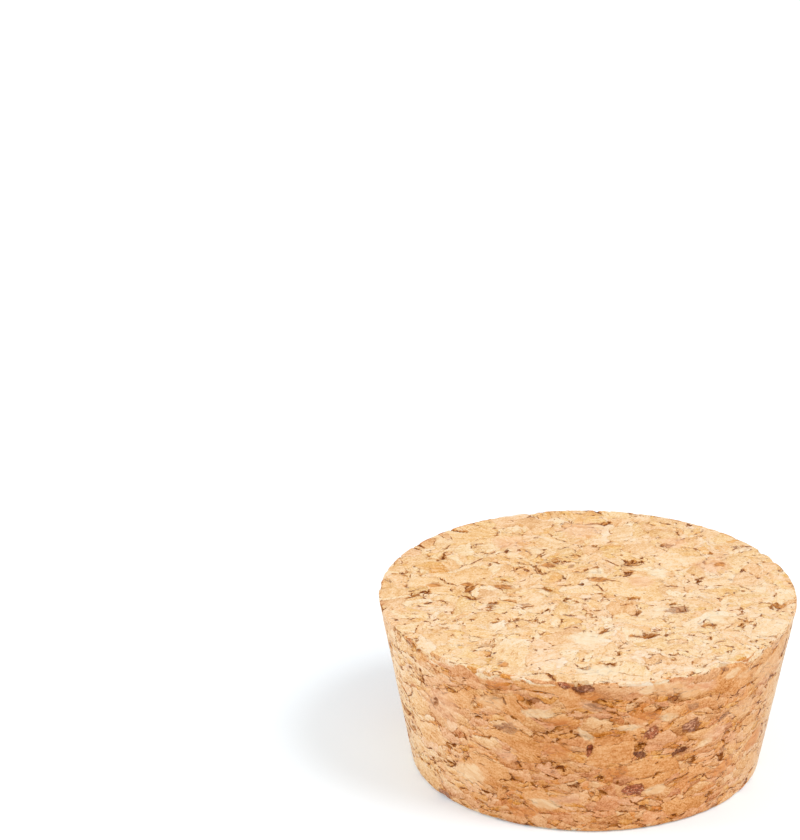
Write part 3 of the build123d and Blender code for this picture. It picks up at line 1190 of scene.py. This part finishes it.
@dataclass(frozen=True)
class CorkFinish:
    """Ground agglomerated cork: pressed granules of many tones, fine grain, dark crevices and bark.

    A band maps its first two numbers to its last two. A band of two maps them to 0 and 1, or to what the
    step gives. A pair holds one number for the side and one for the ends.
    """

    sizes: GranuleSizes = GranuleSizes()
    layer_pace: Triple = (1.6, 1.6, 4.0)
    fray_cloud: Cloud = Cloud(1.0, 2.0, 0.5)
    fray: Triple = (0.3, 0.3, 0.1)
    ragged_cloud: Cloud = Cloud(1.6, 3.0, 0.65)
    ragged: float = 0.24
    level_band: Band = (0.25, 0.7, 0.12, 1.0)
    steep_band: Band = (0.45, 0.92, 1.0, 0.15)
    grain_tip: float = 1.1
    grain_shift: float = 57.0
    fibre_pace: Triple = (0.28, 0.9, 1.5)
    fibre_cloud: Cloud = Cloud(1.0, 3.0, 0.6)
    dust_cloud: Cloud = Cloud(3.0, 3.0, 0.75)
    wander_cloud: Cloud = Cloud(0.9, 3.0, 0.6)

    ring_cloud: Cloud = Cloud(0.35, 2.0, 0.5)
    ring_sway: float = 5.0
    ring_pace: float = 1.5
    ring_line: Band = (0.4, 0.0)
    ring_chance: Band = (0.3, 0.9)
    ring_break: Band = (0.35, 0.6)
    blotch_cloud: Cloud = Cloud(0.45, 3.0, 0.55)
    kin_share: float = 0.35
    large_calm: float = 0.75
    large_level: float = 0.58
    granule_share: float = 0.46
    fibre_share: float = 1.0
    blotch_share: float = 0.36
    dust_share: float = 1.4
    slope_share: float = 0.35
    rise_share: float = 0.28
    ring_share: float = 0.4
    # Painted light and shade on the ends: lighter towards the front right, darker towards the back left
    end_light_tilt: Triple = (0.0016, -0.0022, 0.0)
    hues: Band = (0.0, 1.0, 0.4945, 0.5065)
    saturations: Band = (0.0, 1.0, 1.1, 0.93)
    rim_mix: float = 0.6
    rim_band: Band = (0.42, 0.58)
    # Painted light on the side: the flanks grow paler away from this front direction
    front_way: Triple = (0.087, -0.996, 0.0)
    flank_light_band: Band = (4.0, 35.0, 1.0, 0.0)
    flank_light_levels: Band = (0.05, 0.4)

    dash_pace: Triple = (0.5, 1.8, 2.8)
    dash_cloud: Cloud = Cloud(1.0, 2.0, 0.5)
    dash_band: Band = (0.59, 0.71, 0.0, 0.5)
    speck_pace: Triple = (3.6, 3.6, 4.2)
    speck_sizes: Band = (0.5, 1.0, 0.0, 0.24)
    speck_core: float = 0.5
    speck_cover: float = 0.7

    gap_widths: Pair = (0.1, 0.072)
    gap_opens: Pair = (0.7, 1.2)
    gap_full: float = 2.0
    gap_core: float = 0.4
    hair_shift: Triple = (7.3, 2.1, 5.7)
    hair_cloud: Cloud = Cloud(2.6, 2.0, 0.6)
    hair_opens: Pair = (0.5, 0.53)
    hair_full: float = 0.76
    halo_reach: float = 2.6
    halo_core: float = 0.7
    halo_cover: float = 0.85
    knot_band: Band = (0.4, 0.7, 0.98, 0.86)
    knot_soft: float = 0.04
    depth_cloud: Cloud = Cloud(0.8, 2.0, 0.5)
    depth_band: Band = (0.35, 0.62, 0.32, 1.0)
    seam_band: Band = (0.06, 0.0, 0.0, 0.16)
    crack_bend: float = 1.5
    crack_cloud: Cloud = Cloud(1.5, 2.0, 0.6)
    crack_band: Band = (0.35, 0.65, 0.3, 1.3)
    crack_widths: Pair = (1.0, 0.7)
    crack_core: float = 0.5
    crack_shades: Pair = (0.92, 0.94)
    stain_reach: float = 2.6
    stain_cover: float = 0.8

    mottle_pace: Triple = (0.9, 1.6, 2.4)
    mottle_cloud: Cloud = Cloud(1.0, 3.0, 0.65)
    streak_band: Band = (0.38, 0.62)
    skin_cloud: Cloud = Cloud(1.4, 2.0, 0.5)
    skin_break: Band = (0.36, 0.56, 0.15, 1.0)
    skin_edge: Band = (0.36, 0.08)
    fleck_cloud: Cloud = Cloud(2.4, 2.0, 0.6)
    fleck_band: Band = (0.54, 0.64)
    crumb_share: float = 0.9
    outline_wander: float = 1.2
    outside_share: float = 1 / 3
    hollow_wander: float = 1.3
    hollow_band: Band = (0.25, 0.45)
    hollow_shades: Pair = (1.0, 0.5)
    lip_band: Band = (0.7, 0.35)
    lip_shades: Pair = (0.85, 0.3)

    fibre_bump: float = 0.5
    dust_bump: float = 0.4
    bump_strength: float = 0.7
    bump_depth: float = 0.12 * MM
    roughness_band: Band = (0.2, 0.8, 0.6, 0.85)
    specular: float = 0.1
    sheen: float = 0.4
    sheen_roughness: float = 0.2

    side_tones: Stops = (
        (0.00, Tone(149, 81, 29)), (0.25, Tone(190, 123, 71)), (0.50, Tone(213, 151, 98)),
        (0.75, Tone(226, 174, 125)), (1.00, Tone(232, 189, 145)))
    # Paler tones of the ends: painted light that stands in for the light falling on the top, also laid on the
    # flanks
    lit_end_tones: Stops = (
        (0.00, Tone(192, 137, 75)), (0.25, Tone(216, 170, 115)), (0.50, Tone(227, 193, 150)),
        (0.75, Tone(228, 204, 172)), (1.00, Tone(230, 212, 189)))
    amber: Tone = Tone(184, 112, 36)
    crevice: Tone = Tone(112, 54, 0)
    # Painted shade, multiplied into the torn hollows
    hollow: Tone = Tone(212, 194, 176)
    speck: Tone = Tone(134, 74, 30)
    fleck: Tone = Tone(218, 164, 128)
    showy: tuple[Showy, ...] = (
        Showy(GranuleKind.BEIGE_WOOD, Tone(228, 186, 142), Tone(222, 170, 121), 0.7, 0.5),
        Showy(GranuleKind.PALE_WOOD, Tone(229, 213, 185), Tone(227, 201, 164), 0.8, 0.4),
        Showy(GranuleKind.CREAM_WOOD, Tone(231, 200, 160), Tone(223, 181, 135), 0.8, 0.35),
        Showy(GranuleKind.ORANGE_WOOD, Tone(214, 144, 84), Tone(198, 121, 64), 0.7, 0.4),
        Showy(GranuleKind.PINK_WOOD, Tone(228, 183, 146), Tone(214, 158, 120), 0.5, 0.4),
        Showy(GranuleKind.AMBER_WOOD, Tone(204, 134, 64), Tone(138, 74, 16), 0.85, 0.3),
        Showy(GranuleKind.GREY_BARK, Tone(184, 133, 96), Tone(132, 84, 54), 0.65, 0.2, 0.55, 0.4),
        Showy(GranuleKind.RED_BARK, Tone(186, 106, 74), Tone(112, 50, 27), 0.9, 0.1, 0.8, 0.8),
        Showy(GranuleKind.PURPLE_BARK, Tone(172, 120, 94), Tone(118, 66, 44), 0.9, 0.12, 0.85, 0.7),
    )

    def granules(self, here: Place, smooth_place: Place) -> GranuleNodes:
        """Finds the granule at each place.

        The place is frayed along the layers and made ragged at the size of a crumb. A few granules are large,
        about half of the others are whole, and the rest are broken into fine ones.

        Args:
            here: Place in millimetres.
            smooth_place: Place in granule space.

        Returns:
            The granule's wires.
        """
        bench, sizes = here.bench, self.sizes
        place = smooth_place + (smooth_place * self.layer_pace).swirl(self.fray_cloud) * self.fray
        place = place + here.swirl(self.ragged_cloud).scaled(self.ragged)
        scales = (sizes.large_scale, 1.0, sizes.fine_scale)
        near = [place.cells(scale) for scale in scales]
        large, whole, fine = near
        beyond = [place.cells(scale, "F2") for scale in scales]
        edges = [place.cells(scale, "DISTANCE_TO_EDGE").outputs["Distance"] for scale in scales]
        large_border, whole_border, fine_border = (
            Number(bench, edge) / scale for edge, scale in zip(edges, scales))

        def chance(cell: Node) -> Number:
            """First random number of a cell."""
            return Place(bench, cell.outputs["Color"]).parts()[0]

        is_fine = chance(whole).below(sizes.fine_share)
        is_large = chance(large).below(sizes.large_share)
        by_large = is_large.most(chance(beyond[0]).below(sizes.large_share))

        def picked(name: str, cells: list[Node]) -> Place:
            """One output of the cell that counts here, from the large, whole and fine ones."""
            large_one, whole_one, fine_one = (cell.outputs[name] for cell in cells)
            return is_large.blend(is_fine.blend(whole_one, fine_one), large_one)

        draw, centre = picked("Color", near), picked("Position", near)
        border = is_fine.choose(whole_border, whole_border.least(fine_border))
        border = is_large.choose(by_large.choose(border, border.least(large_border)), large_border)
        from_centre = place - centre
        up = from_centre.parts()[2]
        across = picked("Position", beyond) - centre
        levelness = across.plain("NORMALIZE", across).parts()[2].bare()
        return GranuleNodes(
            place, draw, is_large.blend(whole.outputs["Color"], large.outputs["Color"]).parts(), is_large,
            slope=from_centre.along(draw - HALF) * is_large.choose(1.0, sizes.large_scale ** 2),
            rise=is_large.choose(up * is_fine.choose(1.0, sizes.fine_scale), up * (sizes.large_scale / 2)),
            border=border, corner=is_large.choose(fine.outputs["Distance"], 0.0),
            level_border=levelness.span(*self.level_band), steep_border=levelness.span(*self.steep_band))

    def grain(self, here: Place, granule: GranuleNodes) -> Place:
        """Place along, across and through the fibres of the granule, which is spun and tipped its own way."""
        first, _, third = granule.draw.parts()
        tips = [(value - 0.5) * self.grain_tip for value in (third, granule.parent[1])]
        place = here.turned("Z_AXIS", first * math.pi).turned("X_AXIS", tips[0]).turned("Y_AXIS", tips[1])
        return place + granule.draw.scaled(self.grain_shift)

    def ground(self, bench: NodeBench) -> Ground:
        """Lays out the granules, their grain and the noises that all steps read."""
        here = Place(bench, bench.add("ShaderNodeTexCoord").outputs["Object"]).scaled(1 / MM)
        smooth_place = bench.marked_place("granule_space")
        granule = self.granules(here, smooth_place)
        grain = self.grain(here, granule)
        return Ground(
            bench, here, smooth_place, bench.mark("end_face"), granule, grain,
            fibre=(grain * self.fibre_pace).noise(self.fibre_cloud), dust=here.noise(self.dust_cloud),
            wander=here.noise(self.wander_cloud) - 0.5)

    def body(self, ground: Ground) -> Place:
        """Tone of the plain granules.

        Its level is the granule's own, part of it that of the granule it broke from, plus shares of the
        fibres, clouds, dust and a slope across the granule, less a share of the growth rings. On the side it
        rises with the height in the granule, painted shade that makes each granule lighter at its top and
        darker at its foot, as if lit from above. On the ends it grows lighter towards the front right and
        darker towards the back left, painted light and shade.

        Args:
            ground: The shared wires.

        Returns:
            The tone.
        """
        bench, granule = ground.bench, ground.granule
        first, second, third = granule.draw.parts()
        calm = granule.large * self.large_calm
        sway = ground.grain.noise(self.ring_cloud) * self.ring_sway
        rings = (ground.grain.parts()[2] * self.ring_pace + sway) * math.pi
        ring = rings.plain("SINE", rings).bare().span(*self.ring_line)
        ring = ring * granule.parent[2].span(*self.ring_chance) * ground.fibre.span(*self.ring_break)
        blotch = ground.smooth_place.noise(self.blotch_cloud)
        level = calm.choose(second + (granule.parent[2] - second) * self.kin_share, self.large_level)
        level = (level - 0.5) * self.granule_share + 0.5
        level = level + (ground.fibre - 0.5) * self.fibre_share + (blotch - 0.5) * self.blotch_share
        level = level + (ground.dust - 0.5) * self.dust_share
        level = level + granule.slope * self.slope_share - ring * self.ring_share
        # painted shade: each side granule lighter at its top and darker at its foot
        level = level + granule.rise * ground.by_part(self.rise_share, 0.0)
        # painted light and shade across the ends
        level = level + ground.here.along(self.end_light_tilt) * ground.end_face
        return Place(bench, bench.add("ShaderNodeHueSaturation", {
            "Hue": calm.choose(third, 0.5).span(*self.hues, smooth=False),
            "Saturation": calm.choose(first, 0.5).span(*self.saturations, smooth=False),
            "Color": self.painted_light_share(ground, level).blend(
                bench.ramp(level, self.side_tones), bench.ramp(level, self.lit_end_tones)),
        }).outputs[0])

    def painted_light_share(self, ground: Ground, level: Number) -> Number:
        """Share of the ends' paler tones.

        It is 1 on the ends, up to whole granules at the rim: painted light, as the paler tones stand in for
        the
        light that falls on the top. On the side it grows towards two flanks, but not in the darkest levels:
        painted light too, the paler, veiled look that the light gives the flanks.

        Args:
            ground: The shared wires.
            level: Level of the tone.

        Returns:
            The share.
        """
        rim_granule = (ground.granule.draw.parts()[1] - 0.5) * self.rim_mix
        # painted light on the ends and their rim granules: their paler tones
        end = (ground.end_face + rim_granule).span(*self.rim_band)
        # painted light: paler, veiled flanks away from the front
        flank_light = ground.here.along(self.front_way).bare().span(*self.flank_light_band)
        return end.most(flank_light * level.span(*self.flank_light_levels))

    def specked(self, ground: Ground, tone: Place) -> Place:
        """Adds amber dashes along the grain and fine dark specks."""
        dash = (ground.grain * self.dash_pace).noise(self.dash_cloud).span(*self.dash_band)
        tone = dash.blend(tone, self.amber.linear())
        spots = (ground.granule.place * self.speck_pace).cells(1.0)
        size = Place(ground.bench, spots.outputs["Color"]).parts()[0].span(*self.speck_sizes, smooth=False)
        off = Number(ground.bench, spots.outputs["Distance"])
        return off.span(size, size * self.speck_core, 0.0, self.speck_cover).blend(tone, self.speck.linear())

    def cracks(self, ground: Ground) -> tuple[Number, Number]:
        """The cracks that stand out, which bend, narrow to their tips and vary in width.

        Args:
            ground: The shared wires.

        Returns:
            How dark a crack is, and how far its amber stain covers.
        """
        along, across, half_width = ground.bench.marked_place("crack_place").parts()
        off = (ground.wander * self.crack_bend + across).bare()
        taper = (1.0 - along * along).most(0.0)
        uneven = ground.here.noise(self.crack_cloud).span(*self.crack_band)
        reach = half_width * uneven * ground.by_part(*self.crack_widths) * taper.plain("SQRT", taper)
        crack = off.span(reach, reach * self.crack_core)
        return crack, off.span(reach * self.stain_reach, reach, 0.0, self.stain_cover)

    def creviced(self, ground: Ground, tone: Place) -> tuple[Place, Number]:
        """Opens dark crevices with amber halos.

        On the side they lie mostly along level borders, and on the ends mostly along steep ones.

        Args:
            ground: The shared wires.
            tone: The tone so far.

        Returns:
            The new tone, and how open the surface is.
        """
        granule = ground.granule
        hair = (ground.smooth_place + self.hair_shift).noise(self.hair_cloud)
        gap = ground.bench.mark("open_border").span(ground.by_part(*self.gap_opens), self.gap_full)
        width = gap.most(hair.span(ground.by_part(*self.hair_opens), self.hair_full))
        facing = ground.by_part(granule.level_border, granule.steep_border)
        width = width * ground.by_part(*self.gap_widths) * facing
        crevice = granule.border.span(width, width * self.gap_core)
        halo = granule.border.span(width * self.halo_reach, width * self.halo_core, 0.0, self.halo_cover)
        corner = hair.span(*self.knot_band)
        dark = crevice.most(granule.corner.span(corner, corner + self.knot_soft))
        depth = ground.here.noise(self.depth_cloud).span(*self.depth_band)
        crack, stain = self.cracks(ground)
        tone = halo.most(granule.border.span(*self.seam_band)).most(stain).blend(tone, self.amber.linear())
        shade = (dark * depth).most(crack * ground.by_part(*self.crack_shades))
        return shade.blend(tone, self.crevice.linear()), dark.most(crack)

    def dressed(self, ground: Ground, tone: Place) -> Place:
        """Colours the granules that stand out: soft-edged wood, and bark with broken dark skin and flecks."""
        mottle = (ground.grain * self.mottle_pace).noise(self.mottle_cloud)
        broken = ground.here.noise(self.skin_cloud).span(*self.skin_break)
        flecks = ground.here.noise(self.fleck_cloud).span(*self.fleck_band)
        crumbs = (ground.dust - 0.5) * self.crumb_share
        for showy in self.showy:
            inside = ground.wander * self.outline_wander + ground.bench.mark(showy.kind.value)
            streak = mottle if showy.skin else ground.fibre
            own = streak.span(*self.streak_band).blend(showy.dark.linear(), showy.light.linear())
            if showy.skin:
                inside = inside + crumbs
                own = (flecks * showy.fleck).blend(own, self.fleck.linear())
                edge = inside.span(*self.skin_edge, 0.0, showy.skin)
                own = (edge * broken).blend(own, self.crevice.linear())
            share = inside.span(-showy.soft * self.outside_share, showy.soft, 0.0, showy.cover)
            tone = share.blend(tone, own)
        return tone

    def shade_hollows(self, ground: Ground, tone: Place) -> Place:
        """Darkens the torn hollows, which keep their grain, and most of all under their upper lip."""
        torn = ground.wander * self.hollow_wander + ground.bench.mark("torn")
        sunk = torn.span(*self.hollow_band)
        # painted shade in the hollows, as if they lay in shadow
        tone = (sunk * ground.by_part(*self.hollow_shades)).blend(tone, self.hollow.linear(), "MULTIPLY")
        # painted shade under the upper lip, in the crevice colour
        lip = sunk * torn.span(*self.lip_band) * ground.bench.mark("under_lip")
        return (lip * ground.by_part(*self.lip_shades)).blend(tone, self.crevice.linear())

    def material(self) -> bpy.types.Material:
        """Builds the cork's nodes step by step.

        Returns:
            The material.
        """
        material = bpy.data.materials.new("pressed_cork")
        bench = NodeBench(material)
        ground = self.ground(bench)
        tone, opened = self.creviced(ground, self.specked(ground, self.body(ground)))
        tone = self.shade_hollows(ground, self.dressed(ground, tone))
        height = ground.fibre * self.fibre_bump + ground.dust * self.dust_bump - opened
        bump = bench.add("ShaderNodeBump", {
            "Strength": self.bump_strength, "Distance": self.bump_depth, "Height": height})
        finish = bench.add("ShaderNodeBsdfPrincipled", {
            "Base Color": tone, "Normal": bump.outputs[0],
            "Roughness": ground.fibre.span(*self.roughness_band, smooth=False),
            "Specular IOR Level": self.specular, "Sheen Weight": self.sheen,
            "Sheen Roughness": self.sheen_roughness})
        bench.add("ShaderNodeOutputMaterial", {0: finish.outputs[0]})
        return material


@dataclass(frozen=True)
class Lamp:
    """A far soft lamp that faces the stopper: where it stands, how wide it is in degrees, and its light."""

    name: str
    place: Triple
    spread: float
    strength: float
    colour: Triple = (1.0, 1.0, 1.0)

    def add(self) -> None:
        """Adds the lamp, which lights the whole floor evenly."""
        data = bpy.data.lights.new(self.name, "SUN")
        data.color = self.colour
        data.angle = math.radians(self.spread)
        data.energy = self.strength
        lamp = bpy.data.objects.new(self.name, data)
        lamp.location = self.place
        lamp.rotation_euler = (-lamp.location).to_track_quat("-Z", "Y").to_euler()
        bpy.context.scene.collection.objects.link(lamp)


@dataclass(frozen=True)
class Studio:
    """White floor and surroundings, soft light and the camera."""

    camera_place: Triple = (-34.03 * MM, -759.4 * MM, 379.2 * MM)
    camera_pitch: float = 22.4
    focal_pixels: float = 4600.0
    picture_height: int = 840
    sensor: float = 36.0
    clip_start: float = 10 * MM
    floor_span: float = 8.0
    floor_colour: Triple = (0.8, 0.8, 0.8)
    floor_lift: float = 0.165
    floor_shadow: Triple = (0.77, 0.818, 0.85)
    ambient: float = 0.672
    lamps: tuple[Lamp, ...] = (
        Lamp("overhead_box", (0.6, -0.3, 0.85), 31.0, 1.71),
        Lamp("front_box", (0.3, -1.3, 0.4), 36.0, 0.52),
        Lamp("left_box", (-1.0, 0.05, 0.35), 41.0, 1.72, (0.93, 1.0, 1.06)),
    )

    def add_camera(self) -> None:
        """Sets the camera where the picture was taken from."""
        data = bpy.data.cameras.new("picture_camera")
        data.sensor_width = self.sensor
        data.lens = self.focal_pixels / self.picture_height * self.sensor
        data.clip_start = self.clip_start
        camera = bpy.data.objects.new("picture_camera", data)
        camera.location = self.camera_place
        camera.rotation_euler = (math.radians(90 - self.camera_pitch), 0, 0)
        bpy.context.scene.collection.objects.link(camera)
        bpy.context.scene.camera = camera

    @staticmethod
    def seen(bench: NodeBench) -> Number:
        """1 for what the camera sees, straight or in a gloss, and 0 for what only gives light."""
        path = bench.add("ShaderNodeLightPath")
        return Number(bench, path.outputs["Is Camera Ray"]).most(path.outputs["Is Glossy Ray"])

    def add_world(self) -> None:
        """White surroundings: plain light for the object, white for what the camera and gloss see."""
        world = bpy.data.worlds.new("white_room")
        bench = NodeBench(world)
        strength = self.seen(bench).span(0.0, 1.0, self.ambient, 1.0, smooth=False)
        light = bench.add("ShaderNodeBackground", {"Color": (1.0, 1.0, 1.0, 1.0), "Strength": strength})
        bench.add("ShaderNodeOutputWorld", {0: light.outputs[0]})
        bpy.context.scene.world = world

    def add_floor(self) -> None:
        """Lays the white floor, which shows the shadow faintly."""
        half = self.floor_span / 2
        mesh = bpy.data.meshes.new("floor")
        corners = [(-half, -half, 0), (half, -half, 0), (half, half, 0), (-half, half, 0)]
        mesh.from_pydata(corners, [], [(0, 1, 2, 3)])
        material = bpy.data.materials.new("white_floor")
        bench = NodeBench(material)
        matt = bench.add("ShaderNodeBsdfDiffuse", {"Color": (*self.floor_colour, 1.0)})
        faint = bench.add("ShaderNodeBsdfDiffuse", {"Color": (*self.floor_shadow, 1.0)})
        lift = bench.add("ShaderNodeEmission", {"Strength": self.floor_lift})
        lifted = bench.add("ShaderNodeAddShader", {0: faint.outputs[0], 1: lift.outputs[0]})
        mixed = bench.add("ShaderNodeMixShader", {
            0: self.seen(bench), 1: matt.outputs[0], 2: lifted.outputs[0]})
        bench.add("ShaderNodeOutputMaterial", {0: mixed.outputs[0]})
        mesh.materials.append(material)
        floor = bpy.data.objects.new("floor", mesh)
        bpy.context.scene.collection.objects.link(floor)

    def set_up(self) -> None:
        """Builds the whole studio."""
        bpy.context.scene.view_settings.view_transform = "Standard"
        self.add_camera()
        self.add_world()
        self.add_floor()
        for lamp in self.lamps:
            lamp.add()


def main() -> None:
    """Builds the stopper and its studio, and reports the piece."""
    logging.basicConfig(level=logging.INFO)
    stopper = Stopper()
    piece = stopper.build()
    piece.data.materials.append(CorkFinish().material())
    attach(piece, "root")
    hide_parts("stopper")
    LOG.info("%s: %d faces", piece.name, len(piece.data.polygons))
    Studio().set_up()


if __name__ == "__main__":
    main()
